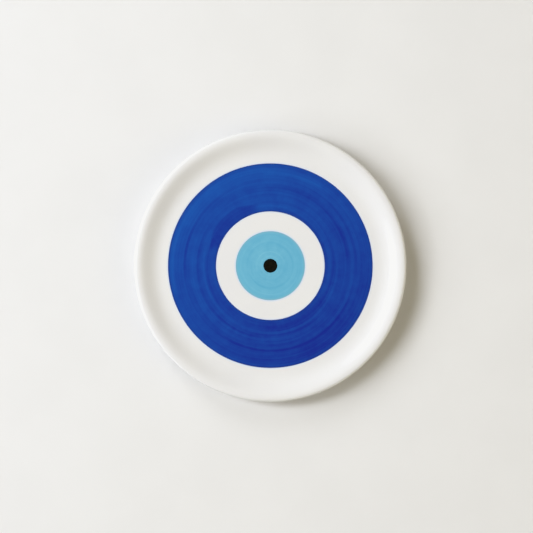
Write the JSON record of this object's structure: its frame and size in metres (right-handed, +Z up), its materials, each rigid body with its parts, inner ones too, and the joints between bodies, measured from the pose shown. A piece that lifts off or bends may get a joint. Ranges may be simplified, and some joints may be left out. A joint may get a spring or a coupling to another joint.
{
  "type": "evil eye plate ornament",
  "caption": "Round white-glazed ceramic plate with a rolled lip, a foot ring and a brushed eye: cobalt ring, light blue iris and black pupil.",
  "frame": {"origin": "on the plate's axis, at the plane that the foot ring stands on", "axes": "+Z up along the plate's axis, out of its painted face; +Y towards the two hanging holes, which is up when the plate hangs on a wall"},
  "size_m": [0.12, 0.12, 0.0109],
  "materials": {
    "bare_clay": "dry, unglazed fired clay",
    "white_glaze": "glossy white glaze",
    "cobalt_blue": "brushed cobalt blue in the glaze",
    "light_blue": "brushed light blue in the glaze",
    "black_paint": "brushed black in the glaze"
  },
  "bodies": {
    "root": {"plate_body": "bare_clay", "foot_ring": "bare_clay", "face_glaze": "white_glaze", "base_glaze": "white_glaze", "blue_ring": "cobalt_blue", "iris_disc": "light_blue", "pupil_dot": "black_paint"}
  },
  "joints": []
}
